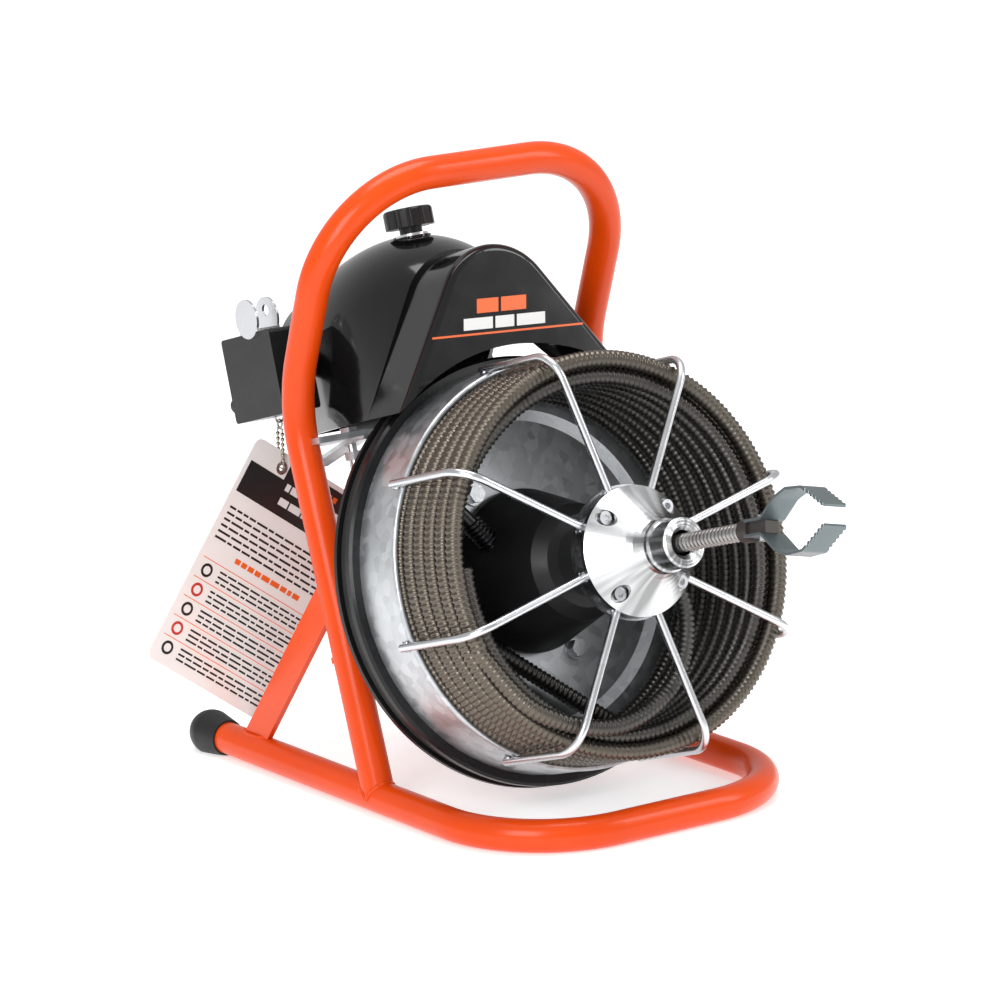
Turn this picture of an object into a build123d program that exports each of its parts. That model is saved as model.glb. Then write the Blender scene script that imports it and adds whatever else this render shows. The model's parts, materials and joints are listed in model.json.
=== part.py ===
from build123d import *
import math
import os

# Portable drum drain cleaner. Millimetres, +Z up. The nose points to -Y.
# The drum, motor and covers share one axis direction, tilted nose up.
# In the level frame of that tilted group, x is sideways, t is the distance
# forward of the drum's belt ring, and v is the height above the drum's axis.

# ---- frame
tube_r = 12.7
tube_wall = 2.1
weld_gap = 0.05
half_width = 138.0
base_front_y = -209.0
base_rear_y = 215.0
base_rear_z = 14.7
base_bend_r = 90.0
cap_r, cap_mouth_r = 18.0, 14.4
cap_front_y, cap_bulge_y, cap_rear_y = 187.0, 209.0, 230.0
foot_y = -26.0
kink_y, kink_z = 75.6, 306.0
top_y, top_z = 15.0, 482.0
kink_bend_r = 110.0
top_bend_r = 92.0
brace_width, brace_thick = 25.0, 5.0
brace_low = (152.0, 14.0)
brace_high = (26.0, 173.0)

# ---- tilted group
tilt_deg = 16.5
drum_y, drum_z = -27.0, 168.2
ring_r, ring_back_t, ring_front_t = 167.0, -8.0, 17.0
groove_r, groove_back_t, groove_front_t = 160.0, -1.0, 9.0
drum_r, drum_skin, rim_t = 158.5, 1.6, 63.5
back_plate_t, back_plate_thick = 2.0, 2.0
rim_bead_r = 2.6
cage_t = 151.0
rod_r = 3.2
rod_pitch_r = drum_r + rod_r
rod_bend_r = 22.0
rod_count = 8
rod_phase_deg = 13.7
rod_lap = 9.0
hub_r, hub_thick = 50.0, 4.0
nose_tip_t = 218.5
nose_bore_r = 9.8
collar_r = 19.0
bead_r = 20.6
cone_base_r, cone_tip_r, cone_tip_t = 64.0, 40.0, 92.0
bolt_circle_r = 74.0

# ---- spindle and bearings
spindle_r = 10.0
bearing_r, bearing_width = 23.5, 14.0
running_gap = 0.05
body_gap = 0.3
plate_t = -52.0
plate_thick = 5.0

# ---- cable
cable_r = 7.15
coil_pitch = 14.5
coil_first_t, coil_turns = 16.8, 9
coil_layer_r = (149.0, 136.6)
sleeve_t, sleeve_mid_r, sleeve_r = 30.0, 117.0, 10.5
leader_r, spring_coil_r = 6.0, 8.6
coupling_t = 294.0
fork_t = 327.0
cutter_tip_t = 403.0
jaw_v, jaw_thick, jaw_half_width = 4.5, 2.0, 11.0
jaw_reach_v, jaw_tip_v = 23.0, 6.0
tooth_pitch, tooth_r, tooth_count = 4.2, 1.5, 6
cutter_roll_deg = -12.0

# ---- motor and drive
motor_v, motor_r = 200.0, 54.0
shell_front_t, shell_back_t = -60.0, -165.0
shaft_r = 8.0
pulley_r, pulley_rim_r = 16.7, 20.0
belt_thick, belt_mid_t, belt_width = 4.0, 4.0, 8.0
arch_r = 173.5
guard_top_r, guard_tip_x = 53.0, 107.0
guard_front_t, guard_back_t = 42.0, -10.0
skin = 3.0
window_t, window_v = (-100.0, -34.0), (155.0, 179.0)
knob_t, knob_stem = -61.0, 5.0
cover_top_v = 272.0
box_left_x, box_right_x = -120.0, -87.0
box_back_t, box_front_t = -176.0, -104.0
box_low_v, box_top_v, box_corner_r = 156.0, 223.0, 3.0
bracket_back_t, bracket_front_t = -175.0, -167.0
inlet_r, inlet_v = 4.2, 171.0
barb_r, barb_v = 2.6, 190.0
toggle_bore_r, toggle_v = 4.2, 208.0
mount_v, mount_thick = 131.0, 5.0
mount_front_t, mount_back_t = -34.0, -126.0
mount_wing_t, mount_half = -76.0, 96.0
mount_bolt_t = -49.0

# ---- tag
tag_width, tag_height, tag_thick = 139.0, 194.0, 0.8
tag_hang_deg = 35.0
tag_hole_in, tag_hole_side = 12.0, 33.0
chain_top_x, chain_top_t = -98.0, -146.5
chain_drop = 42.0
hook_drop = 5.0
bead_pitch = 4.2

# The side view's sketch plane: t runs forward, v runs up.
side_plane = Plane(origin=(0, 0, 0), x_dir=(0, -1, 0), z_dir=(-1, 0, 0))

# The datum is the middle of the object's box on the floor.
datum_x, datum_y = -29.837, -76.930


def level_box(x0, x1, t0, t1, v0, v1):
    """A box in the level frame."""
    middle = Pos((x0 + x1) / 2, -(t0 + t1) / 2, (v0 + v1) / 2)
    return middle * Box(x1 - x0, t1 - t0, v1 - v0)


def axial(r, t0, t1, x=0.0, v=0.0):
    """A cylinder that runs forward from t0 to t1."""
    stick = Cylinder(r, t1 - t0, align=(Align.CENTER, Align.CENTER, Align.MIN))
    return Pos(x, -t0, v) * Rot(X=90) * stick


def turned(*outline):
    """A solid of revolution about the drum's axis, from (t, r) points."""
    points = [(r, -t) for t, r in outline]
    return revolve(make_face(Polyline(*points, close=True)), Axis.Y)


def section(t):
    """The sketch plane across the drum's axis at t, with v upwards."""
    return Plane(origin=(0, -t, 0), x_dir=(1, 0, 0), z_dir=(0, -1, 0))


def tilted(shape):
    """Move a shape from the level frame to its place on the machine."""
    return Pos(0, drum_y, drum_z) * Rot(X=-tilt_deg) * shape


def tilted_point(x, t, v):
    """A level-frame point's place on the machine."""
    a = math.radians(tilt_deg)
    y = drum_y - t * math.cos(a) + v * math.sin(a)
    z = drum_z + t * math.sin(a) + v * math.cos(a)
    return Vector(x, y, z)


def around(shape, count, first_deg=0.0):
    """Copies of a shape about the drum's axis."""
    step = 360 / count
    return [Rot(Y=-(first_deg + step * i)) * shape for i in range(count)]


def together(shapes):
    """Separate solids as one node."""
    return Compound(children=[s for shape in shapes for s in shape.solids()])


def tube_along(path, r, wall=None):
    """A round bar or tube along a path."""
    start = Plane(origin=path @ 0, z_dir=path % 0)
    ring = Circle(r) if wall is None else Circle(r) - Circle(r - wall)
    return sweep(start * ring, path=path)


def hexagon(across, height):
    return extrude(RegularPolygon(across / 2, 6, major_radius=False), height)


def hex_bolt(r, length, head, grip=0.0):
    """Head above z = 0, shank below it, and a nut under the grip."""
    bolt = hexagon(r * 3.2, head) + Pos(0, 0, -length / 2) * Cylinder(r, length)
    if grip:
        nut = Pos(0, 0, -grip - r * 1.6) * hexagon(r * 3.2, r * 1.6)
        bolt += nut
    return bolt


# ---- frame parts, in the machine's own frame

def base_path():
    return FilletPolyline(
        (-half_width, base_rear_y, base_rear_z),
        (-half_width, base_front_y, tube_r),
        (half_width, base_front_y, tube_r),
        (half_width, base_rear_y, base_rear_z),
        radius=base_bend_r,
    )


def upright_path():
    left = [
        (-half_width, foot_y, 14.0),
        (-half_width, kink_y, kink_z),
        (-half_width, top_y, top_z),
    ]
    right = [(-x, y, z) for x, y, z in reversed(left)]
    radii = [kink_bend_r, top_bend_r, top_bend_r, kink_bend_r]
    return FilletPolyline(*left, *right, radius=radii)


def brace(side, tubes):
    """A flat bar in the upright plane, coped to both tubes."""
    y0, z0 = brace_low
    y1, z1 = brace_high
    length = math.hypot(y1 - y0, z1 - z0)
    lean = math.degrees(math.atan2(z1 - z0, y1 - y0))
    bar = Rot(X=lean) * Box(brace_thick, length, brace_width)
    bar = Pos(side * half_width, (y0 + y1) / 2, (z0 + z1) / 2) * bar
    return max((bar - tubes).solids(), key=lambda s: s.volume)


def foot_cap(side):
    """A bulbous rubber cap with a flat patch where it stands."""
    bulge, length = cap_bulge_y - cap_front_y, cap_rear_y - cap_front_y
    depth = base_rear_y - cap_front_y
    turn = math.radians(40)
    crown = (cap_r * math.cos(turn), bulge + (length - bulge) * math.sin(turn))
    outline = [
        ThreePointArc((cap_r, bulge), crown, (0, length)),
        Polyline((0, length), (0, depth), (tube_r, depth), (tube_r, 0), (cap_mouth_r, 0), (cap_r, bulge)),
    ]
    body = revolve(make_face(outline), Axis.Y)
    slope = math.degrees(math.atan((base_rear_z - tube_r) / (base_rear_y - base_front_y)))
    drop = depth * math.tan(math.radians(slope))
    body = Pos(side * half_width, cap_front_y, base_rear_z - drop) * Rot(X=slope) * body
    floor = Pos(side * half_width, cap_front_y, -20) * Box(80, 200, 40)
    return body - floor


def frame_parts():
    solid_base = tube_along(base_path(), tube_r)
    solid_upright = tube_along(upright_path(), tube_r)
    base = tube_along(base_path(), tube_r, tube_wall)
    upright = tube_along(upright_path(), tube_r, tube_wall) - tube_along(base_path(), tube_r + weld_gap)
    tubes = solid_base + solid_upright
    cross = level_box(-half_width, half_width, plate_t - plate_thick, plate_t, -42, 42)
    for v in (-42 + plate_thick / 2, 42 - plate_thick / 2):
        lip = level_box(-half_width, half_width, plate_t - 24, plate_t - plate_thick,
                        v - plate_thick / 2, v + plate_thick / 2)
        cross += lip
    cross -= axial(spindle_r, plate_t - 30, plate_t + 10)
    cross = tilted(cross) - solid_upright
    cross = max(cross.solids(), key=lambda s: s.volume)
    plate = level_box(-half_width, half_width, mount_wing_t, mount_front_t, mount_v - mount_thick, mount_v)
    plate += level_box(-mount_half, mount_half, mount_back_t, mount_front_t, mount_v - mount_thick, mount_v)
    for x in (-100, 100):
        plate -= Pos(x, -mount_bolt_t, mount_v) * Cylinder(4, 40)
    plate = tilted(plate) - solid_upright
    plate = max(plate.solids(), key=lambda s: s.volume)
    return {
        "base_tube": base,
        "upright_tube": max(upright.solids(), key=lambda s: s.volume),
        "brace_left": brace(-1, tubes),
        "brace_right": brace(1, tubes),
        "foot_cap_left": foot_cap(-1),
        "foot_cap_right": foot_cap(1),
        "bearing_crossmember": cross,
        "motor_mount_plate": plate,
    }


# ---- spindle and drum, in the level frame

def spindle_parts():
    shoulder_t = plate_t + 8
    nut_t = plate_t - plate_thick
    spindle = axial(spindle_r, nut_t - 18, 74) + axial(22, plate_t, shoulder_t)
    spindle += axial(14, shoulder_t, -20 - body_gap)
    washer = axial(20, nut_t - 2.5, nut_t) - axial(spindle_r, nut_t - 5, nut_t + 5)
    nut = Pos(0, -(nut_t - 2.5), 0) * Rot(X=-90) * hexagon(30, 11)
    nut -= axial(spindle_r, nut_t - 30, nut_t)
    collar = axial(16, 62, 70) - axial(spindle_r, 60, 72)
    return {
        "spindle": spindle,
        "spindle_fittings": together([washer, nut, collar]),
    }


def bearing(t0):
    race = axial(bearing_r, t0, t0 + bearing_width)
    race -= axial(spindle_r + running_gap, t0 - 1, t0 + bearing_width + 1)
    groove = turned((t0, 14.5), (t0 + 0.8, 14.5), (t0 + 0.8, 20.5), (t0, 20.5))
    back = Pos(0, -(bearing_width - 0.8), 0) * groove
    return race - groove - back


def drum_shell():
    """The band with its rolled front rim."""
    inner = drum_r - drum_skin
    band = turned((ring_back_t, inner), (rim_t, inner), (rim_t, drum_r), (ring_back_t, drum_r))
    centre = Vector(drum_r - rim_bead_r + 0.6, -rim_t, 0)
    bead = revolve(Pos(centre) * Circle(rim_bead_r), Axis.Y)
    return band + bead


def belt_ring():
    """The ring with the belt's groove, pressed on the band's rear edge."""
    return turned(
        (ring_back_t, drum_r), (ring_back_t, ring_r - 2), (ring_back_t + 2, ring_r),
        (groove_back_t - 1.2, ring_r), (groove_back_t, groove_r), (groove_front_t, groove_r),
        (groove_front_t + 1.2, ring_r), (ring_front_t - 2, ring_r), (ring_front_t, ring_r - 2),
        (ring_front_t, drum_r),
    )


def back_plate():
    """A dished disc that closes the drum behind the coil."""
    t0, t1 = back_plate_t, back_plate_t + back_plate_thick
    edge = drum_r - drum_skin
    plate = turned(
        (t0, 30), (t1, 30), (t1, 118), (t1 + 5, 126), (t1 + 5, edge), (t0 + 5, edge),
        (t0 + 5, 126.5), (t0, 118.5),
    )
    for hole in around(axial(4.2, t0 - 5, t1 + 5, bolt_circle_r, 0), 4, 27):
        plate -= hole
    return plate


def drum_hub():
    """The bearing housing with its flange behind the back plate."""
    front_t = 58.0
    hub = axial(30, -20, front_t) + axial(84, back_plate_t - 6, back_plate_t)
    hub -= axial(18, -30, front_t + 5)
    hub -= axial(bearing_r, -21, -20 + bearing_width)
    hub -= axial(bearing_r, front_t - bearing_width, front_t + 1)
    for hole in around(axial(4.2, back_plate_t - 8, back_plate_t + 1, bolt_circle_r, 0), 4, 27):
        hub -= hole
    return hub


def centre_cone():
    """A moulded cover over the bearing housing."""
    t0 = back_plate_t + back_plate_thick
    outer = turned((t0, 0), (t0, cone_base_r), (t0 + 8, cone_base_r),
                   (cone_tip_t - 12, cone_tip_r + 5), (cone_tip_t - 3, cone_tip_r - 4),
                   (cone_tip_t, cone_tip_r - 12), (cone_tip_t, 0))
    inner = turned((t0, 0), (t0, cone_base_r - skin), (cone_tip_t - 14, cone_tip_r + 1),
                   (cone_tip_t - skin, cone_tip_r - 12), (cone_tip_t - skin, 0))
    start, end = guide_line()
    port = tube_along(Line(start, end + (end - start)), spring_coil_r + body_gap)
    return outer - inner - port


def back_plate_bolts():
    washer = axial(9, 0, 1.6) - axial(4, -1, 2)
    head = Pos(0, -1.6, 0) * Rot(X=90) * hexagon(12.7, 5.5)
    shank = axial(4, back_plate_thick * -1 - 10, 1.6)
    nut = Pos(0, back_plate_thick + 6, 0) * Rot(X=-90) * hexagon(12.7, 6)
    bolt = head + shank + nut
    pair = [Pos(bolt_circle_r, -(back_plate_t + back_plate_thick), 0) * s for s in (washer, bolt)]
    return together([c for s in pair for c in around(s, 4, 27)])


def cage_rods():
    """Bent rods from the drum's rim round to the hub ring."""
    path = FilletPolyline(
        (rod_pitch_r, -(rim_t - rod_lap), 0),
        (rod_pitch_r, -cage_t, 0),
        (hub_r - 2, -cage_t, 0),
        radius=rod_bend_r,
    )
    rod = tube_along(path, rod_r)
    return together(around(rod, rod_count, rod_phase_deg))


def nose_profile():
    """The flared cone and the collar, as one turned piece."""
    t0 = cage_t + rod_r
    flare = [(t0 + hub_thick, hub_r)]
    top_t, steps = 193.0, 8
    for i in range(1, steps + 1):
        f = i / steps
        r = collar_r + (hub_r - collar_r) * (1 - f) ** 1.35
        flare.append((t0 + hub_thick + (top_t - t0 - hub_thick) * f, r))
    tail = [(194.0, bead_r), (197.5, bead_r), (198.5, collar_r), (nose_tip_t - 1.5, collar_r),
            (nose_tip_t, collar_r - 1.5), (nose_tip_t, nose_bore_r + 3), (nose_tip_t - 3, nose_bore_r)]
    return [(t0, nose_bore_r), (t0, hub_r)] + flare + tail


def nose_parts():
    t0 = cage_t + rod_r
    nose = turned(*nose_profile())
    screw_r = 41.0
    pockets = around(axial(6.5, t0 + 6.5, t0 + 60, screw_r, 0), 4, 45)
    holes = around(axial(3.0, t0 - 20, t0 + 60, screw_r, 0), 4, 45)
    for cut in pockets + holes:
        nose -= cut
    ring = axial(hub_r + 1.6, cage_t - rod_r - 4, t0 - rod_r * 2) - axial(16, 100, 200)
    for hole in around(axial(3.0, 100, 200, screw_r, 0), 4, 45):
        ring -= hole
    spacer = axial(36, cage_t - rod_r, t0) - axial(16, 100, 200)
    screw = axial(5.2, 6.5, 11.5) + axial(3.0, -rod_r * 2 - 8, 6.5)
    screw -= Pos(0, -11.5, 0) * Rot(X=90) * hexagon(5, 6) + Pos(0, -8.5, 0) * Rot(X=90) * hexagon(5, 3)
    screw = Pos(screw_r, -t0, 0) * screw
    return {
        "hub_ring": together([ring, spacer]),
        "nose_cone": nose,
        "nose_screws": together(around(screw, 4, 45)),
    }


def cable_coil():
    """The wound cable's outer shape: two scalloped layers, one inside the other."""
    outer_r, inner_r = coil_layer_r
    bulge, half = cable_r + 0.15, coil_pitch / 2
    rise = math.sqrt(bulge ** 2 - half ** 2)
    edges = []
    for i in range(coil_turns):
        t = coil_first_t + coil_pitch * i
        crest, start, end = (outer_r + bulge, -t), (outer_r + rise, half - t), (outer_r + rise, -half - t)
        edges.append(ThreePointArc(start, crest, end))
    for i in range(coil_turns - 1):
        t = coil_first_t + coil_pitch * (i + 0.5)
        crest, start, end = (inner_r - bulge, -t), (inner_r - rise, half - t), (inner_r - rise, -half - t)
        edges.append(ThreePointArc(start, crest, end))
    rear_t = coil_first_t - half
    front_t = coil_first_t + coil_pitch * (coil_turns - 0.5)
    for t, step in ((rear_t, half), (front_t, -half)):
        edges.append(Polyline((outer_r + rise, -t), (outer_r - 2, -t), (inner_r + 2, -t - step),
                              (inner_r - rise, -t - step)))
    return revolve(make_face(edges), Axis.Y)


def guide_line():
    """Where the leader cable runs, from the clamp into the cone."""
    return Vector(-82, -sleeve_t, 74), Vector(-52, -sleeve_t - 4, 33)


def guide_parts():
    """The clamp that ties the coil's inner end to the drum, and its spring."""
    sleeve = revolve(Pos(sleeve_mid_r, -sleeve_t) * Circle(sleeve_r), Axis.Y, revolution_arc=34)
    sleeve = Rot(Y=-150) * sleeve
    seat = Pos(sleeve_mid_r, -(sleeve_t + sleeve_r - 2), 0) * Rot(X=90)
    screw = Rot(Y=-133) * seat * hex_bolt(4, 8, 5.5)
    start, end = guide_line()
    direction = (end - start).normalized()
    leader = tube_along(Line(start + direction * 6, end + direction * 16), leader_r)
    spring_line = Line(end - direction * 14, end + direction * 12)
    bore = tube_along(Line(start, end + direction * 30), leader_r)
    spring = tube_along(spring_line, spring_coil_r) - bore
    flat = Rot(Y=-133) * seat * Pos(0, 0, 20) * Box(16, 16, 40)
    shank_hole = Rot(Y=-133) * seat * Cylinder(4, 20)
    sleeve -= tube_along(Line(start - direction * 30, end), leader_r)
    return {
        "guide_sleeve": sleeve - flat - shank_hole,
        "guide_screw": screw,
        "leader_cable": leader,
        "guide_spring": spring,
    }


def cable_end_parts():
    """The cable's front end with its coupling and the two-jaw cutter."""
    cable = axial(cable_r, cone_tip_t + 6, coupling_t)
    tang = level_box(-6, 6, coupling_t + 12, fork_t, -jaw_v, jaw_v)
    coupling = axial(8.8, coupling_t, coupling_t + 12) + tang
    screw_t = coupling_t + 24
    screw_hole = Pos(0, -screw_t, 0) * Cylinder(2.5, 60)
    outline = [
        (coupling_t + 13, jaw_v), (fork_t, jaw_v), (fork_t + 17, jaw_reach_v - 5),
        (fork_t + 31, jaw_reach_v), (fork_t + 50, jaw_reach_v - 1), (cutter_tip_t, jaw_tip_v),
    ]
    centre = [(t, v + jaw_thick / 2) for t, v in outline]
    strip = trace(FilletPolyline(*centre, radius=5), jaw_thick)
    jaw = extrude(side_plane * strip, jaw_half_width, both=True)
    for i in range(tooth_count):
        for x in (-jaw_half_width, jaw_half_width):
            jaw -= Pos(x, -(cutter_tip_t - tooth_pitch * i), 20) * Cylinder(tooth_r, 40)
    jaw -= screw_hole
    head_v = jaw_v + jaw_thick
    screw = Pos(0, -screw_t, 0) * Cylinder(2.5, 2 * head_v + 4)
    screw += Pos(0, -screw_t, head_v) * Cylinder(4.6, 3, align=(Align.CENTER, Align.CENTER, Align.MIN))
    screw += Pos(0, -screw_t, -head_v - 3) * hexagon(8, 3)
    roll = Rot(Y=-cutter_roll_deg)
    return {
        "cable_end": cable,
        "cable_coupling": roll * (coupling - screw_hole),
        "cutter_jaws": together([roll * jaw, roll * Rot(Y=180) * jaw]),
        "cutter_screw": roll * screw,
    }


# ---- motor, drive and covers, in the level frame

def at_motor(shape):
    return Pos(0, 0, motor_v) * shape


def motor_parts():
    front_t = shell_front_t + 14
    rear_t = shell_back_t - 70
    shell = axial(motor_r, shell_back_t, shell_front_t)
    shell -= axial(motor_r - 2.5, shell_back_t - 1, shell_front_t + 1)
    front = turned(
        (shell_front_t, motor_r), (front_t - 4, motor_r), (front_t, motor_r - 5), (front_t, shaft_r + 1),
        (front_t - 3, shaft_r + 1), (front_t - 3, 16), (front_t - 13, 16), (front_t - 13, 20),
        (front_t - 4, 20), (front_t - 4, motor_r - 7), (shell_front_t, motor_r - 4),
    )
    rear = turned(
        (shell_back_t, motor_r), (shell_back_t - 24, motor_r - 1), (shell_back_t - 48, motor_r - 7),
        (rear_t + 5, 34), (rear_t, 27), (rear_t, 0), (rear_t + 3, 0), (rear_t + 3, 16),
        (rear_t + 13, 16), (rear_t + 13, 20), (rear_t + 4, 20), (rear_t + 9, 32),
        (shell_back_t - 46, motor_r - 10), (shell_back_t - 22, motor_r - 4), (shell_back_t, motor_r - 4),
    )
    core_back_t, core_front_t = shell_back_t + 15, shell_front_t - 15
    stator = axial(motor_r - 2.5, core_back_t, core_front_t) - axial(33.5, -400, 0)
    rotor = axial(33, core_back_t, core_front_t) + axial(shaft_r, rear_t + 4, 16)
    fan = axial(38, core_back_t - 26, core_back_t - 22) - axial(shaft_r, -400, 0)
    for blade in around(level_box(12, 37, core_back_t - 36, core_back_t - 26, -1, 1), 9):
        fan += blade
    race = axial(16, 0, 10) - axial(shaft_r + running_gap, -1, 11)
    races = [Pos(0, -(front_t - 13), 0) * race, Pos(0, -(rear_t + 3), 0) * race]
    low, high = belt_mid_t - belt_width / 2 - 1, belt_mid_t + belt_width / 2 + 1
    pulley = turned(
        (low - 2, shaft_r), (low - 2, pulley_rim_r), (low, pulley_rim_r), (low, pulley_r),
        (high, pulley_r), (high, pulley_rim_r), (high + 2, pulley_rim_r), (high + 2, shaft_r),
    )
    cradle = level_box(-42, 42, -150, -80, mount_v, motor_v - 36)
    return {
        "motor_shell": at_motor(shell),
        "motor_front_bell": at_motor(front),
        "motor_rear_bell": at_motor(rear),
        "motor_stator": at_motor(stator),
        "motor_bearings": at_motor(together(races)),
        "motor_rotor": at_motor(rotor),
        "motor_fan": at_motor(fan),
        "drive_pulley": at_motor(pulley),
        "motor_cradle": cradle - at_motor(axial(motor_r, -400, 0)),
    }


def drive_belt():
    """The belt as it runs over the ring's groove and the motor's pulley."""
    def loop(extra):
        low = Circle(groove_r + body_gap + extra)
        high = Pos(0, motor_v) * Circle(pulley_r + body_gap + extra)
        return make_hull(low.edges() + high.edges())
    ring = loop(belt_thick) - loop(0)
    back_t = belt_mid_t - belt_width / 2
    return extrude(section(back_t) * ring, belt_width)


def cover_outline(r, tip_x, tip_v, arch=0.0):
    """A rounded top on straight sides; the foot is flat or follows the drum."""
    dx, dv = tip_x, tip_v - motor_v
    turn = math.atan2(dv, dx) + math.acos(r / math.hypot(dx, dv))
    touch = (r * math.cos(turn), motor_v + r * math.sin(turn))
    left_tip, right_tip = (-tip_x, tip_v), (tip_x, tip_v)
    left_touch = (-touch[0], touch[1])
    foot = ThreePointArc(right_tip, (0, arch), left_tip) if arch else Line(right_tip, left_tip)
    edges = [
        Line(left_tip, left_touch),
        ThreePointArc(left_touch, (0, motor_v + r), touch),
        Line(touch, right_tip),
        foot,
    ]
    return make_face(edges)


def belt_guard():
    tip_v = math.sqrt(arch_r ** 2 - guard_tip_x ** 2)
    depth = guard_front_t - guard_back_t
    outer = extrude(section(guard_back_t) * cover_outline(guard_top_r, guard_tip_x, tip_v, arch_r), depth)
    front_edges = outer.edges().group_by(Axis.Y)[0]
    crown = [e for e in front_edges if e.center().Z > tip_v + 20 and e.center().Z > arch_r + 2]
    outer = fillet(crown, 6)
    low_r = arch_r - 8
    inner_x = guard_tip_x - 2
    inner = cover_outline(guard_top_r - skin, inner_x, math.sqrt(low_r ** 2 - inner_x ** 2), low_r)
    return outer - extrude(section(guard_back_t - 1) * inner, depth - skin + 1)


def motor_cover():
    """A tapering shell from the guard back over the motor."""
    foot_v = math.sqrt(arch_r ** 2 - guard_tip_x ** 2)
    top_r = cover_top_v - motor_v
    stations = [
        (guard_back_t, guard_top_r + 3, guard_tip_x),
        (-45.0, top_r, 102.0),
        (-120.0, top_r, 80.0),
        (shell_back_t, motor_r + 7, 66.0),
    ]
    outer = loft([section(t) * cover_outline(r, x, foot_v) for t, r, x in stations], ruled=False)
    inner = loft([section(t) * cover_outline(r - skin, x - skin - 0.5, foot_v) for t, r, x in stations])
    back_wall = level_box(-150, 150, shell_back_t - 1, shell_back_t + skin, 0, 400)
    boss = Pos(0, -knob_t, motor_v) * Cylinder(15, cover_top_v + 2 - motor_v,
                                               align=(Align.CENTER, Align.CENTER, Align.MIN))
    cover = outer + boss - (inner - back_wall)
    cover -= level_box(-90, 90, -160, -20, foot_v - 1, foot_v + skin + 20) & inner
    cover -= at_motor(axial(motor_r + 0.5, shell_back_t - 5, shell_back_t + 5))
    cover -= fillet(level_box(60, 130, *window_t, *window_v).edges().filter_by(Axis.X), 6)
    spot_face = Cylinder(15, 40, align=(Align.CENTER, Align.CENTER, Align.MIN))
    cover -= Pos(0, -knob_t, cover_top_v + 2) * spot_face
    cover -= Pos(0, -knob_t, cover_top_v) * Cylinder(5.5, 40)
    return cover


def knob_parts():
    low = (Align.CENTER, Align.CENTER, Align.MIN)
    seat_v = cover_top_v + 2
    stud_top = seat_v + 15
    stud = Pos(0, -knob_t, motor_v + motor_r + 2) * Cylinder(5, stud_top - motor_v - motor_r - 2, align=low)
    washer = Pos(0, -knob_t, seat_v) * (Cylinder(13, 2, align=low) - Cylinder(5, 10))
    stem_v = seat_v + 2 + body_gap
    head = Cylinder(19.5, 15, align=low)
    head = fillet(head.edges().group_by(Axis.Z)[-1], 3)
    for i in range(12):
        head -= Rot(Z=30 * i) * Pos(21, 0, 7) * Cylinder(3.0, 40)
    stem = Cylinder(9, knob_stem, align=low)
    knob = Pos(0, -knob_t, stem_v) * (stem + Pos(0, 0, knob_stem) * head)
    knob -= Pos(0, -knob_t, 0) * Cylinder(5 + running_gap, stud_top + 0.5, align=low)
    return {"tension_stud": stud, "knob_washer": washer, "tension_knob": knob}


def mount_hardware():
    low_v = mount_v - mount_thick
    strip_path = FilletPolyline((-14, low_v - 1.6), (-40, low_v - 1.6), (-104, low_v - 15), radius=60)
    strip = extrude(side_plane * trace(strip_path, 3), 10, both=True)
    strips = [Pos(x, 0, 0) * strip for x in (-100, 100)]
    bolts = []
    for x in (-100, 100):
        strip_hole = Pos(x, -mount_bolt_t, 0) * Cylinder(4, 600)
        strips = [s - strip_hole for s in strips]
        bolts.append(Pos(x, -mount_bolt_t, mount_v) * hex_bolt(4, 30, 3.8, 15))
    return {"pivot_strips": together(strips), "mount_bolts": together(bolts)}


def switch_parts():
    wall = 2.0
    box = level_box(box_left_x, box_right_x, box_back_t, box_front_t, box_low_v, box_top_v)
    box = fillet(box.edges().filter_by(Axis.X), box_corner_r)
    hollow = level_box(box_left_x + wall, box_right_x + 5, box_back_t + wall, box_front_t - wall,
                       box_low_v + wall, box_top_v - wall)
    box -= hollow
    mid_x = (box_left_x + box_right_x) / 2
    for r, v in ((inlet_r, inlet_v), (2.0, barb_v), (toggle_bore_r, toggle_v)):
        box -= axial(r, box_back_t - 1, box_back_t + wall + 1, mid_x, v)
    lid = level_box(box_right_x, box_right_x + 1.6, box_back_t, box_front_t, box_low_v, box_top_v)
    lid = fillet(lid.edges().filter_by(Axis.X), box_corner_r)
    bracket = level_box(box_right_x + 1.6, -44, bracket_back_t, bracket_front_t, 186, 208)
    bracket -= level_box(box_right_x + 5, -40, bracket_back_t - 1, bracket_front_t - 2.5, 188.5, 205.5)
    solid_rear = axial(motor_r, shell_back_t - 24, shell_back_t)
    bracket -= at_motor(solid_rear) + at_motor(axial(motor_r - 1, shell_back_t - 60, shell_back_t))
    gland = axial(8, box_back_t - 5, box_back_t, mid_x, inlet_v)
    gland += axial(6.5, box_back_t - 20, box_back_t, mid_x, inlet_v)
    gland -= axial(inlet_r, -400, 0, mid_x, inlet_v)
    barb = axial(5, box_back_t - 3, box_back_t, mid_x, barb_v)
    barb += axial(barb_r, box_back_t - 14, box_back_t, mid_x, barb_v)
    bush = axial(6, box_back_t - 6, box_back_t, mid_x, toggle_v)
    bush -= axial(toggle_bore_r, -400, 0, mid_x, toggle_v)
    ball = Pos(mid_x, -(box_back_t - 2), toggle_v) * Sphere(toggle_bore_r - 0.4)
    lever = ball + axial(1.8, box_back_t - 20, box_back_t - 2, mid_x, toggle_v)
    lever += Pos(mid_x, -(box_back_t - 20), toggle_v) * Sphere(2.8)
    return {
        "switch_box": box,
        "switch_box_lid": lid,
        "switch_bracket": max(bracket.solids(), key=lambda s: s.volume),
        "cord_gland": gland,
        "air_hose_barb": barb,
        "switch_bushing": bush,
        "switch_lever": lever,
    }


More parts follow.
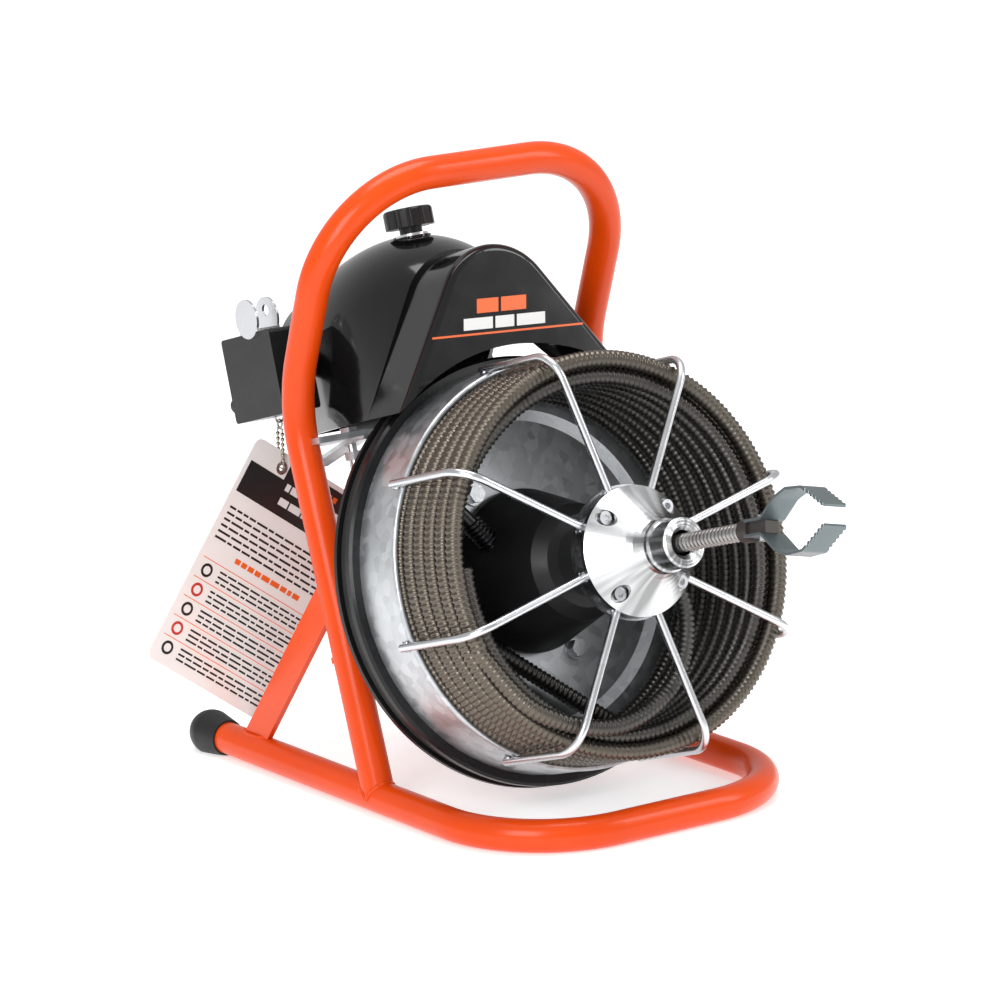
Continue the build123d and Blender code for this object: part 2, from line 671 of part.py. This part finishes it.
def ear_bracket():
    """Two round-topped ears on one folded strip over the switch box."""
    ear_t, ear_v, ear_r, sheet = -130.0, 234.0, 15.5, 2.0
    left_x, right_x = box_left_x - sheet, -103.0

    def ear(x, low_v):
        disc = Cylinder(ear_r, sheet, align=(Align.CENTER, Align.CENTER, Align.MIN))
        disc = Pos(x, -ear_t, ear_v) * Rot(Y=90) * disc
        foot = level_box(x, x + sheet, ear_t - ear_r + 2, ear_t + ear_r - 2, low_v, ear_v)
        return disc - level_box(x - 1, x + 5, -400, 0, 0, box_top_v if x > box_left_x else 0.1) + foot
    web = level_box(left_x, right_x + sheet, ear_t - ear_r + 2, ear_t + ear_r - 2,
                    box_top_v, box_top_v + sheet)
    hole = Pos(right_x, -ear_t, ear_v + 5) * Rot(Y=90) * Cylinder(4.5, 10)
    right = ear(right_x, box_top_v) - hole
    return ear(left_x, ear_v - 6) + web + right


# ---- tag, in the machine's own frame

def tag_parts():
    top = tilted_point(chain_top_x, chain_top_t, box_low_v)
    eyelet = top - Vector(0, 0, chain_drop)
    card = Box(tag_width, tag_thick, tag_height)
    card = fillet(card.edges().filter_by(Axis.Y), 7)
    card = Pos(tag_width / 2 - tag_hole_side, 0, tag_hole_in - tag_height / 2) * card
    card -= Rot(X=90) * Cylinder(3.2, 10)
    card = Pos(eyelet) * Rot(Y=tag_hang_deg) * card
    ring = Rot(X=90) * (Cylinder(5.2, tag_thick + 1.6) - Cylinder(2.4, 10))
    ring -= Rot(X=90) * (Cylinder(8, tag_thick) - Cylinder(3.2, 10))
    ring = Pos(eyelet) * ring
    pivot = top - Vector(0, 0, hook_drop)
    link = Pos(pivot - Vector(0, 0, 1)) * Rot(Y=90) * Torus(3.2, 0.7)
    hook = Pos(top - Vector(0, 0, hook_drop - 4)) * Rot(X=90) * Torus(4, 1)
    box = level_box(box_left_x, box_right_x, box_back_t, box_front_t, box_low_v, box_top_v)
    strand_y, high_z = 3.2, pivot.Z - 5.2
    beads = int((high_z - eyelet.Z) / bead_pitch)
    chain = link
    for side in (-strand_y, strand_y):
        run = high_z - eyelet.Z
        chain += Pos(top.X, top.Y + side, eyelet.Z + run / 2) * Cylinder(0.6, run)
        for i in range(1, beads):
            chain += Pos(top.X, top.Y + side, high_z - i * bead_pitch) * Sphere(1.6)
    for z in (high_z, eyelet.Z):
        chain += Pos(top.X, top.Y, z) * Rot(X=90) * Cylinder(0.6, 2 * strand_y + 1.2)
    hook -= tilted(box)
    hook = max(hook.solids(), key=lambda s: s.volume)
    return {"tag_card": card, "tag_eyelet": ring, "tag_chain": chain, "tag_hook": hook}


def build():
    level = {}
    level.update(spindle_parts())
    level["drum_bearings"] = together([bearing(-20), bearing(44)])
    level["drum_shell"] = drum_shell()
    level["belt_ring"] = belt_ring()
    level["drum_back_plate"] = back_plate()
    level["drum_hub"] = drum_hub()
    level["centre_cone"] = centre_cone()
    level["back_plate_bolts"] = back_plate_bolts()
    level["cage_rods"] = cage_rods()
    level.update(nose_parts())
    level["drain_cable_coil"] = cable_coil()
    level.update(guide_parts())
    level.update(cable_end_parts())
    level.update(motor_parts())
    level["drive_belt"] = drive_belt()
    level["belt_guard"] = belt_guard()
    level["motor_cover"] = motor_cover()
    level.update(knob_parts())
    level.update(mount_hardware())
    level.update(switch_parts())
    level["ear_bracket"] = ear_bracket()
    parts = {name: tilted(shape) for name, shape in level.items()}
    parts.update(frame_parts())
    parts.update(tag_parts())
    return parts


os.makedirs("parts", exist_ok=True)
for name, shape in build().items():
    export_step(Pos(-datum_x, -datum_y, 0) * shape, f"parts/{name}.step")
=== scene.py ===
"""Looks of the drain snake machine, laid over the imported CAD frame."""
import json
import math
import random

import bpy
from mathutils import Matrix, Vector


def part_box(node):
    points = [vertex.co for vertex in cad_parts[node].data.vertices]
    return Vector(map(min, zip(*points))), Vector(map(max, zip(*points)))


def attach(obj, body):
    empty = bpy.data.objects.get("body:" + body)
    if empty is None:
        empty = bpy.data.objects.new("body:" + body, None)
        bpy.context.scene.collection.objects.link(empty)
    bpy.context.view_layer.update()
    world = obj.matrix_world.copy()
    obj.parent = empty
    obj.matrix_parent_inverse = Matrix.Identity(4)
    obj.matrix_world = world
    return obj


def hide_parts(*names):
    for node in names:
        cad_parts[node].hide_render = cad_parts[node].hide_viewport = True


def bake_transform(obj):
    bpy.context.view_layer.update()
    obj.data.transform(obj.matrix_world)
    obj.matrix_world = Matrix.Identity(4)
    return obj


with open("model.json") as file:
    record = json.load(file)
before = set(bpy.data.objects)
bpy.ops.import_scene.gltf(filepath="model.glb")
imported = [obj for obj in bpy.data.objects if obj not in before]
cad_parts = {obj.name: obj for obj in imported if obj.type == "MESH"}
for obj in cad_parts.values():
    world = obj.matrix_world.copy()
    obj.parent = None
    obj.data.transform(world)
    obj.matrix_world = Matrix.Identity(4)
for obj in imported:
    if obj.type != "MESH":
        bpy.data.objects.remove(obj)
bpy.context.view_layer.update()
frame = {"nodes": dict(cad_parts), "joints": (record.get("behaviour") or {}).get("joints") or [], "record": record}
NODES = frame["nodes"]
random.seed(7)

# The level frame: x sideways, t forward along the drum's axis, v square to both, all in millimetres.
SPIN = next(joint for joint in frame["joints"] if joint["name"] == "drum_spin")
ORIGIN = Vector(SPIN["pos_m"])
FORWARD = Vector(SPIN["axis"]).normalized()
SIDE = Vector((1, 0, 0))
UP = FORWARD.cross(SIDE)
MM = 0.001


def level(x, t, v):
    """A point of the level frame, in the row frame's metres."""
    return ORIGIN + (SIDE * x + FORWARD * t + UP * v) * MM


def ring(r, degrees, t):
    """A point r from the drum's axis, its angle taken from the right hand side upwards."""
    angle = math.radians(degrees)
    return level(r * math.cos(angle), t, r * math.sin(angle))


# ---------------------------------------------------------------- camera, floor and light

def place_camera():
    """The camera stands in front and to the left, slightly above the machine."""
    azimuth, elevation, roll = (math.radians(a) for a in (-35.4, 13.2, -1.4))
    distance, lens = 4.299, 199.44
    back = Vector((math.sin(azimuth) * math.cos(elevation), -math.cos(azimuth) * math.cos(elevation),
                   math.sin(elevation)))
    right = Vector((math.cos(azimuth), math.sin(azimuth), 0))
    up = back.cross(right)
    across = math.cos(roll) * right + math.sin(roll) * up
    upward = math.cos(roll) * up - math.sin(roll) * right
    camera = bpy.data.objects.new("camera", bpy.data.cameras.new("camera"))
    bpy.context.scene.collection.objects.link(camera)
    camera.data.sensor_width = 36
    camera.data.lens = lens
    camera.data.clip_end = 100
    pose = Matrix((across, upward, back)).transposed().to_4x4()
    pose.translation = ORIGIN + Vector((0.0006, 0.027, 0.0525)) + back * distance
    camera.matrix_world = pose
    bpy.context.scene.camera = camera


def area_light(name, place, size, power):
    """A soft box that looks at the middle of the machine."""
    lamp = bpy.data.objects.new(name, bpy.data.lights.new(name, "AREA"))
    lamp.data.energy = power
    lamp.data.shape = "RECTANGLE"
    lamp.data.size, lamp.data.size_y = size
    lamp.location = place
    lamp.rotation_euler = (Vector((0, 0, 0.25)) - Vector(place)).to_track_quat("-Z", "Y").to_euler()
    bpy.context.scene.collection.objects.link(lamp)


def light_studio():
    """A pale world with a large box on the left, one on the right and one above."""
    world = bpy.data.worlds.new("studio")
    bpy.context.scene.world = world
    world.use_nodes = True
    background = world.node_tree.nodes["Background"]
    background.inputs["Color"].default_value = (1, 1, 1, 1)
    background.inputs["Strength"].default_value = 0.62
    area_light("left_box", (-1.9, -1.3, 1.3), (1.2, 1.4), 34)
    area_light("right_box", (1.7, -1.6, 1.5), (0.5, 1.6), 16)
    area_light("top_box", (0.1, 0.2, 2.4), (1.6, 1.2), 30)
    bpy.context.scene.view_settings.view_transform = "Standard"


# ---------------------------------------------------------------- materials

class Shader:
    """A material's node tree, with short words for the nodes used here."""

    def __init__(self, name, colour, roughness, metallic=0.0, coat=0.0):
        self.material = bpy.data.materials.new(name)
        self.material.use_nodes = True
        self.tree = self.material.node_tree
        self.surface = self.tree.nodes["Principled BSDF"]
        self.set("Base Color", (*colour, 1))
        self.set("Roughness", roughness)
        self.set("Metallic", metallic)
        self.set("Coat Weight", coat)
        self.set("Coat Roughness", 0.08)
        if max(colour) < 0.02:
            self.set("Specular IOR Level", 0.3)
        self.coords = self.tree.nodes.new("ShaderNodeTexCoord").outputs["Object"]

    def set(self, socket, value):
        self.surface.inputs[socket].default_value = value

    def join(self, output, socket):
        self.tree.links.new(output, self.surface.inputs[socket])

    def node(self, kind, **inputs):
        made = self.tree.nodes.new(kind)
        for socket, value in inputs.items():
            target = made.inputs[socket]
            if isinstance(value, bpy.types.NodeSocket):
                self.tree.links.new(value, target)
            else:
                target.default_value = value
        return made

    def math(self, operation, a, b=0.0):
        made = self.tree.nodes.new("ShaderNodeMath")
        made.operation = operation
        for socket, value in zip(made.inputs, (a, b)):
            if isinstance(value, bpy.types.NodeSocket):
                self.tree.links.new(value, socket)
            else:
                socket.default_value = value
        return made.outputs[0]

    def vector(self, operation, a, b):
        made = self.tree.nodes.new("ShaderNodeVectorMath")
        made.operation = operation
        for socket, value in zip(made.inputs, (a, b)):
            if isinstance(value, bpy.types.NodeSocket):
                self.tree.links.new(value, socket)
            else:
                socket.default_value = value
        return made.outputs["Value" if operation in ("DOT_PRODUCT", "LENGTH") else "Vector"]

    def noise(self, scale, detail=3.0, vector=None):
        made = self.node("ShaderNodeTexNoise", Vector=vector or self.coords, Scale=scale, Detail=detail)
        return made.outputs["Fac"]

    def ramp(self, factor, *stops):
        """Stops are (place, grey) or (place, (r, g, b))."""
        made = self.node("ShaderNodeValToRGB", Fac=factor)
        elements = made.color_ramp.elements
        while len(elements) < len(stops):
            elements.new(0.5)
        for element, (place, value) in zip(elements, stops):
            element.position = place
            element.color = (*value, 1) if isinstance(value, tuple) else (value, value, value, 1)
        return made.outputs["Color"]

    def bump(self, height, strength, distance=0.0005):
        made = self.node("ShaderNodeBump", Height=height, Strength=strength, Distance=distance)
        self.join(made.outputs["Normal"], "Normal")

    def about_axis(self):
        """Distance from the drum's axis, angle about it, place along it, and offset from its origin."""
        offset = self.vector("SUBTRACT", self.coords, tuple(ORIGIN))
        along = self.vector("DOT_PRODUCT", offset, tuple(FORWARD))
        across = self.vector("DOT_PRODUCT", offset, tuple(SIDE))
        upward = self.vector("DOT_PRODUCT", offset, tuple(UP))
        radius = self.math("SQRT", self.math("ADD", self.math("MULTIPLY", across, across),
                                             self.math("MULTIPLY", upward, upward)))
        return radius, self.math("ARCTAN2", upward, across), along, offset


def orange_paint():
    look = Shader("orange_paint", (0.70, 0.05, 0.004), 0.28, coat=0.1)
    look.set("Specular IOR Level", 0.25)
    cloud = look.ramp(look.noise(9), (0.3, (0.64, 0.052, 0.001)), (0.7, (0.72, 0.064, 0.002)))
    look.join(cloud, "Base Color")
    look.bump(look.noise(900, 2), 0.05)
    return look


def plain(name, colour, roughness, metallic=0.0, coat=0.0, grain=600, depth=0.06, mottle=0.25):
    """An even finish, a little cloudy in its roughness and with a fine grain."""
    look = Shader(name, colour, roughness, metallic, coat)
    low, high = roughness * (1 - mottle), min(1.0, roughness * (1 + mottle))
    look.join(look.ramp(look.noise(38), (0.3, low), (0.7, high)), "Roughness")
    look.bump(look.noise(grain, 2), depth)
    return look


def galvanised_steel():
    """Zinc spangle: crystals of slightly different grey and gloss."""
    look = Shader("galvanised_steel", (0.5, 0.53, 0.56), 0.4, 0.85)
    cells = look.node("ShaderNodeTexVoronoi", Vector=look.coords, Scale=120.0)
    tone = look.node("ShaderNodeSeparateColor", Color=cells.outputs["Color"]).outputs["Red"]
    grey = look.ramp(tone, (0.0, (0.44, 0.46, 0.48)), (0.55, (0.52, 0.54, 0.56)), (1.0, (0.60, 0.62, 0.64)))
    look.join(grey, "Base Color")
    look.join(look.ramp(tone, (0.0, 0.3), (1.0, 0.4)), "Roughness")
    look.bump(look.noise(260), 0.05)
    return look


def turned(name, colour, roughness, rings=2600.0):
    """Turned about the drum's axis: fine rings, highlights drawn out along the radius, and painted highlight and
    painted shade sectors about the axis in the base colour.
    """
    look = Shader(name, colour, roughness, 1.0)
    radius, angle, along, offset = look.about_axis()
    look.set("Anisotropic", 0.85)
    look.join(look.vector("CROSS_PRODUCT", offset, tuple(FORWARD)), "Tangent")
    # Painted reflection: bright and dark sectors radiating from the axis go into the base colour, from full colour
    # (painted highlight) down to 0.38 of it (painted shade).
    painted_sector_coords = look.node("ShaderNodeCombineXYZ", X=look.math("COSINE", angle), Y=look.math("SINE", angle),
                      Z=look.math("MULTIPLY", radius, 4.0)).outputs["Vector"]
    dark, pale = (tuple(channel * part for channel in colour) for part in (0.38, 1.0))
    look.join(look.ramp(look.noise(2.6, 2, painted_sector_coords), (0.38, dark), (0.62, pale)), "Base Color")
    groove = look.math("SINE", look.math("MULTIPLY", look.math("ADD", radius, along), rings))
    look.bump(groove, 0.08, 0.0002)
    return look


def cable_steel():
    """Oiled spring wire with painted light in its colour: paler grey near the axis, painted shade on the inner
    layer, and lighter brown on the outer turns, partly a brownish tone and partly a painted sheen.
    """
    look = Shader("cable_steel", (0.2, 0.17, 0.14), 0.32, 0.9)
    radius = look.about_axis()[0]
    # Colour by distance from the axis: painted shade darkens the inner layer, and the outer layer is lighter and
    # browner, partly its own tone and partly painted sheen.
    shade = look.ramp(look.math("MULTIPLY", radius, 5.0),
                      (0.0, (0.34, 0.33, 0.32)), (0.2, (0.10, 0.098, 0.095)),
                      (0.68, (0.075, 0.07, 0.065)), (0.76, (0.125, 0.108, 0.088)))
    look.join(shade, "Base Color")
    look.join(look.ramp(look.noise(55), (0.3, 0.24), (0.7, 0.42)), "Roughness")
    return look


def make_materials():
    """One look for each of the record's material slots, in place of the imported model's plain ones."""
    for packed in list(bpy.data.materials):
        bpy.data.materials.remove(packed)
    steel = (0.62, 0.63, 0.65)
    looks = [
        orange_paint(), galvanised_steel(), cable_steel(),
        turned("turned_aluminium", (0.80, 0.81, 0.82), 0.24),
        plain("black_rubber", (0.014, 0.014, 0.014), 0.5, depth=0.12),
        plain("zinc_steel", steel, 0.27, 1.0, grain=300),
        plain("bearing_steel", (0.55, 0.55, 0.56), 0.2, 1.0),
        plain("black_paint", (0.004, 0.004, 0.0045), 0.3, coat=0.05),
        plain("black_plastic", (0.013, 0.013, 0.014), 0.38, grain=1200, depth=0.15),
        plain("guard_plastic", (0.003, 0.003, 0.0035), 0.13, coat=0.3, grain=140, depth=0.03),
        plain("cable_black", (0.035, 0.034, 0.034), 0.3, 0.7),
        plain("spring_black", (0.045, 0.045, 0.05), 0.32, 0.8),
        plain("dark_steel", (0.10, 0.09, 0.085), 0.35, 0.85),
        plain("cutter_steel", (0.16, 0.19, 0.20), 0.38, 0.85, grain=220, depth=0.15),
        plain("motor_core", (0.30, 0.24, 0.2), 0.4, 0.8),
        plain("belt_rubber", (0.012, 0.012, 0.012), 0.65),
        plain("brass_fitting", (0.62, 0.42, 0.15), 0.25, 1.0),
        plain("eyelet_brass", (0.6, 0.58, 0.54), 0.22, 1.0),
        plain("chain_nickel", (0.38, 0.33, 0.28), 0.28, 1.0),
        plain("tag_laminate", (0.80, 0.80, 0.78), 0.22, coat=0.8, depth=0.02),
    ]
    return {look.material.name: look.material for look in looks}


def paint(piece, name):
    """Gives a piece one of the record's material slots."""
    piece.data.materials.clear()
    piece.data.materials.append(MATERIALS[name])


def print_ink(name, colour, roughness=0.35):
    """A printed colour, which is not a slot of its own."""
    return Shader(name, colour, roughness, coat=0.3).material


# ---------------------------------------------------------------- building pieces

def mesh_piece(name, points, faces, smooth=True):
    """A mesh object from points in the row frame."""
    data = bpy.data.meshes.new(name)
    data.from_pydata([tuple(p) for p in points], [], faces)
    data.update()
    data.polygons.foreach_set("use_smooth", [smooth] * len(data.polygons))
    piece = bpy.data.objects.new(name, data)
    bpy.context.scene.collection.objects.link(piece)
    return piece


def tube(points, radii, sides=10):
    """Points and faces of a closed tube along a path, with a radius at each point."""
    rings, count = [], len(points)
    normal = (points[1] - points[0]).orthogonal().normalized()
    for i, point in enumerate(points):
        heading = (points[min(i + 1, count - 1)] - points[max(i - 1, 0)]).normalized()
        normal = (normal - heading * normal.dot(heading)).normalized()
        other = heading.cross(normal)
        for k in range(sides):
            turn = 2 * math.pi * k / sides
            rings.append(point + (normal * math.cos(turn) + other * math.sin(turn)) * radii[i])
    faces = []
    for i in range(count - 1):
        for k in range(sides):
            a, b = i * sides + k, i * sides + (k + 1) % sides
            faces.append((a, b, b + sides, a + sides))
    faces.append(tuple(reversed(range(sides))))
    faces.append(tuple(range((count - 1) * sides, count * sides)))
    return rings, faces


def spline(points, step):
    """Even steps along a smooth curve through the points."""
    ends = [points[0] * 2 - points[1], *points, points[-1] * 2 - points[-2]]
    dense = []
    for p0, p1, p2, p3 in zip(ends, ends[1:], ends[2:], ends[3:]):
        pieces = max(2, round((p2 - p1).length / step * 3))
        for k in range(pieces):
            u = k / pieces
            dense.append(0.5 * (2 * p1 + (p2 - p0) * u + (2 * p0 - 5 * p1 + 4 * p2 - p3) * u ** 2
                                + (3 * p1 - p0 - 3 * p2 + p3) * u ** 3))
    dense.append(points[-1])
    return even_steps(dense, step)


def even_steps(points, step):
    """The same path with its points one step apart."""
    path, left = [points[0]], step
    for a, b in zip(points, points[1:]):
        length = (b - a).length
        while left <= length:
            path.append(a.lerp(b, left / length))
            left += step
        left -= length
    return path


def ridged(path, radius, depth, rings_per_wire, sides=9):
    """Tube of close-wound wire: its radius dips between one wire and the next."""
    turn = 2 * math.pi / rings_per_wire
    radii = [radius - depth * (0.5 + 0.5 * math.cos(turn * i)) for i in range(len(path))]
    return tube(path, radii, sides)


# ---------------------------------------------------------------- the drain cable

CABLE_R = 7.15
WIRE_PITCH = 4.6
GROOVE_DEPTH = 1.35
RINGS_PER_WIRE = 4
LAYER_R = (149.0, 136.6)
COIL_PITCH = 14.5
OUTER_FIRST, OUTER_TURNS = 16.8, 9
NOSE_END = 294.0


def coil_layer(r, first_t, last_t, pitches, turns, start_degrees):
    """Turns that lie side by side, each stepping over to the next in a short stretch."""
    steps = 72
    points = []
    for i in range(round(turns * steps) + 1):
        done = i / steps
        whole, part = int(done), done % 1
        shift = min(1.0, max(0.0, (part - 0.75) / 0.25))
        shift = shift * shift * (3 - 2 * shift)
        t = first_t + (last_t - first_t) * min(1.0, (whole + shift) / pitches)
        points.append(ring(r, start_degrees + 360 * done, t))
    return points


def drain_cable():
    """Inner layer to the rear, outer layer to the front, then in to the axis and out of the nose."""
    last_outer = OUTER_FIRST + COIL_PITCH * (OUTER_TURNS - 1)
    inner_front, inner_rear = last_outer - COIL_PITCH / 2, OUTER_FIRST + COIL_PITCH / 2
    inner_turns, outer_turns, start, step_out = 8.0, 8.75, 175, 118
    inner = coil_layer(LAYER_R[1], inner_front, inner_rear, 7, inner_turns, start)
    outer_start = start + 360 * inner_turns + step_out
    outer = coil_layer(LAYER_R[0], OUTER_FIRST, last_outer, 8, outer_turns, outer_start)
    lead_start = outer_start + 360 * outer_turns
    lead = [(22, 146.5, 138.5), (50, 132, 140), (80, 108, 134), (112, 82, 122), (146, 56, 110),
            (186, 32, 108), (236, 10, 121)]
    path = inner + outer + [ring(r, lead_start + turn, t) for turn, r, t in lead]
    path += [level(0, t, 0) for t in (142, 156, 170, 200, 230, 262, NOSE_END)]
    path = spline(path, WIRE_PITCH / RINGS_PER_WIRE * MM)
    piece = mesh_piece("drain_cable", *ridged(path, CABLE_R * MM, GROOVE_DEPTH * MM, RINGS_PER_WIRE))
    paint(piece, "cable_steel")
    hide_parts("drain_cable_coil", "cable_end")
    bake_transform(piece)


# ---------------------------------------------------------------- small pieces

def design(x, y, z):
    """A point of the upright design frame in millimetres, whose drum stands at (0, -27, 168.2)."""
    return ORIGIN + Vector((x, y + 27.0, z - 168.2)) * MM


def loop_bead(name, points, radius, slot_name, body):
    """A closed weld bead, lumpy like a row of puddles."""
    path = spline([*points, points[0]], 0.0016)
    radii = [radius * (1 + 0.16 * math.sin(i * 1.9)) * MM for i in range(len(path))]
    piece = mesh_piece(name, *tube(path, radii, 8))
    paint(piece, slot_name)
    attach(piece, body)


def frame_welds():
    """Beads where the uprights and the braces stand on the base tube."""
    tube_r, half_width, axis_z, foot_y, lean = 12.7, 138, 12.7, -26.0, 0.3466
    pad_y, pad_z, pad_half_width, pad_half_length = 146.5, 13.9, 4.2, 16.5
    for side, word in ((-1, "left"), (1, "right")):
        saddle, pad = [], []
        for k in range(28):
            turn = 2 * math.pi * k / 28
            across, along = math.cos(turn), math.sin(turn)
            rise = tube_r * abs(along)
            y = foot_y + lean * rise + tube_r * along * 1.06
            saddle.append(design(side * half_width + tube_r * across, y, axis_z + rise + 0.4))
            x = pad_half_width * across
            z = pad_z + math.sqrt(tube_r ** 2 - x * x)
            pad.append(design(side * half_width + x, pad_y + pad_half_length * along, z))
        loop_bead(f"upright_weld_{word}", saddle, 1.9, "orange_paint", "frame")
        loop_bead(f"brace_weld_{word}", pad, 1.7, "orange_paint", "frame")


def short_bead(name, path, radii):
    """A zinc plated bead on the drum, with a radius in millimetres at each of its points."""
    piece = mesh_piece(name, *tube(path, [r * MM for r in radii], 8))
    paint(piece, "zinc_steel")
    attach(piece, "drum")


def rod_welds():
    """Beads along both sides of each cage rod, at the drum's rim and at the hub ring."""
    rod_count, first_degrees = 8, 13.7
    bead_r, bead_t = 160.4, 150.2
    for i in range(rod_count):
        angle = first_degrees + 360 / rod_count * i
        for side, word in ((-1, "a"), (1, "b")):
            path = [ring(bead_r, angle + side * 1.0, t) for t in (55.5, 57.5, 59.5, 61.5, 62.8)]
            short_bead(f"rim_weld_{i}_{word}", path, (0.5, 1.7, 1.3, 1.8, 0.6))
        for side, word in ((-1, "a"), (1, "b")):
            path = [ring(r, angle + side * 3.1, bead_t) for r in (46.5, 48.0, 49.5, 50.8)]
            short_bead(f"hub_weld_{i}_{word}", path, (0.5, 1.6, 1.4, 0.5))


def guide_spring():
    """The open dark spring round the leader cable."""
    start, end = Vector((-82, 30, 74)), Vector((-52, 34, 33))
    heading = (end - start).normalized()
    first, length, coil_r, wire_r, turns = end - heading * 14, 26.0, 7.5, 1.1, 7
    normal = heading.orthogonal().normalized()
    other = heading.cross(normal)
    steps_per_turn = 24
    steps = turns * steps_per_turn
    path = []
    for i in range(steps + 1):
        turn = 2 * math.pi * i / steps_per_turn
        outward = (normal * math.cos(turn) + other * math.sin(turn)) * coil_r
        path.append(level(*(first + heading * length * i / steps + outward)))
    piece = mesh_piece("guide_spring_wire", *tube(path, [wire_r * MM] * len(path), 8))
    paint(piece, "spring_black")
    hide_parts("guide_spring")
    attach(piece, "drum")


# ---------------------------------------------------------------- printing

def plates(name, outlines, thick, ink, body):
    """Thin printed patches: each outline is a flat ring of points with the way that it faces."""
    points, faces = [], []
    for outline, normal in outlines:
        count, first = len(outline), len(points)
        points += [p for p in outline] + [p + normal * thick * MM for p in outline]
        faces.append(tuple(first + k for k in reversed(range(count))))
        faces.append(tuple(first + count + k for k in range(count)))
        for k in range(count):
            nxt = (k + 1) % count
            faces.append((first + k, first + nxt, first + count + nxt, first + count + k))
    piece = mesh_piece(name, points, faces, smooth=False)
    piece.data.materials.append(ink)
    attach(piece, body)


def guard_graphics(orange, white):
    """A pinstripe and two rows of plain slanted blocks."""
    front, slope, slant = 42.02, -0.053, 0.22

    def block(x0, x1, v0, v1):
        corners = ((x0, v0), (x1, v0), (x1 + slant * (v1 - v0), v1), (x0 + slant * (v1 - v0), v1))
        return [level(x, front, v + slope * x) for x, v in corners], FORWARD

    rows = (
        ("guard_stripe", orange, [block(-69, 72, 183.4, 185.0)]),
        ("guard_blocks_orange", orange, [block(-24, -4, 200, 211), block(-1.5, 22, 200, 211)]),
        ("guard_blocks_white", white, [block(-39, -12, 187.6, 196.6), block(-9.5, 8, 187.6, 196.6),
                                       block(10.5, 37, 187.6, 196.6)]),
    )
    for name, ink, blocks in rows:
        plates(name, blocks, 0.15, ink, "frame")


class TagFace:
    """One side of the tag's card: printed shapes by ink, placed in millimetres from the eyelet."""

    def __init__(self, facing):
        low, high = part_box("tag_eyelet")
        hang = math.radians(35)
        self.facing = facing
        self.eyelet = (Vector(low) + Vector(high)) / 2
        self.across = Vector((math.cos(hang), 0, -math.sin(hang)))
        self.upward = Vector((math.sin(hang), 0, math.cos(hang)))
        self.normal = Vector((0, facing, 0))
        self.shapes = {"black": [], "orange": [], "white": [], "red": []}

    def add(self, ink, spots, lift):
        base = self.eyelet + self.normal * (HALF_CARD + lift) * MM
        outline = [base + (self.across * u + self.upward * w) * MM for u, w in spots]
        self.shapes[ink].append((outline, self.normal))

    def bar(self, ink, u0, u1, w0, w1, lift=0.0):
        near, far = (u0, u1) if self.facing < 0 else (u1, u0)
        self.add(ink, ((near, w0), (far, w0), (far, w1), (near, w1)), lift)

    def disc(self, ink, u, w, r, lift=0.0):
        turns = [-self.facing * 2 * math.pi * k / 18 for k in range(18)]
        self.add(ink, [(u + r * math.cos(a), w + r * math.sin(a)) for a in turns], lift)

    def words(self, ink, u0, u1, w, tall, lift=0.0):
        """A row of bars of uneven length, which stands for a line of text."""
        u = u0
        while u < u1 - 4:
            end = min(u1, u + random.uniform(4, 13))
            self.bar(ink, u, end, w, w + tall, lift)
            u = end + 1.6


HALF_CARD = 0.42
PRINT_LEFT, PRINT_RIGHT = -29.0, 102.0


def tag_header(face):
    """A black band at the top, cut away round the eyelet on the front."""
    if face.facing < 0:
        face.bar("black", 7, PRINT_RIGHT, -34, 8)
        face.bar("black", PRINT_LEFT, 7, -34, -7)
        face.words("orange", 14, 62, -2, 4.5, 0.1)
        face.words("white", 12, 92, -14, 6, 0.1)
        face.words("white", 12, 84, -26, 6, 0.1)
    else:
        face.bar("black", PRINT_LEFT, PRINT_RIGHT, -34, -9)
        face.words("white", PRINT_LEFT + 8, PRINT_RIGHT - 20, -27, 7, 0.1)


def tag_rows(face):
    """Lines of plain bars, a heading, and five ruled rows with a ring each."""
    for row in range(6):
        face.words("black", PRINT_LEFT + 2, PRINT_RIGHT - 3, -48 - 5.2 * row, 1.8)
    face.words("orange", PRINT_LEFT + 30, PRINT_RIGHT - 30, -84, 4.2)
    mark = -face.facing * (PRINT_LEFT + 10)
    for row in range(5):
        top = -92 - 17.0 * row
        face.bar("orange", PRINT_LEFT + 1, PRINT_RIGHT - 2, top + 0.3, top + 0.9)
        face.disc(("black", "red")[row % 2], mark, top - 8, 5.6)
        face.disc("white", mark, top - 8, 3.4, 0.1)
        for line in range(3):
            indent = 14 * (line == 2)
            face.words("black", PRINT_LEFT + 22, PRINT_RIGHT - 4 - indent, top - 4.6 - 4.2 * line, 1.6)


def tag_print(inks):
    """Generic print on both sides of the card."""
    for facing, word in ((-1, "front"), (1, "back")):
        face = TagFace(facing)
        tag_header(face)
        tag_rows(face)
        for ink, shapes in face.shapes.items():
            plates(f"tag_{word}_{ink}", shapes, 0.08, inks[ink], "tag")


# ---------------------------------------------------------------- making

place_camera()
light_studio()
MATERIALS = make_materials()
for part in frame["record"]["subparts"]:
    paint(NODES[part["node"]], part["material_slot"])

floor = mesh_piece("floor", [(-9, -9, 0), (9, -9, 0), (9, 9, 0), (-9, 9, 0)], [(0, 1, 2, 3)], smooth=False)
backing = Shader("floor", (0.93, 0.93, 0.93), 0.9)
backing.set("Emission Color", (1, 1, 1, 1))
backing.set("Emission Strength", 0.42)
floor.data.materials.append(backing.material)

drain_cable()
frame_welds()
rod_welds()
guide_spring()
inks = {
    "orange": print_ink("ink_orange", (0.80, 0.12, 0.01)),
    "white": print_ink("ink_white", (0.75, 0.75, 0.74)),
    "black": print_ink("ink_black", (0.015, 0.015, 0.015)),
    "red": print_ink("ink_red", (0.5, 0.03, 0.02)),
}
guard_graphics(inks["orange"], inks["white"])
tag_print(inks)
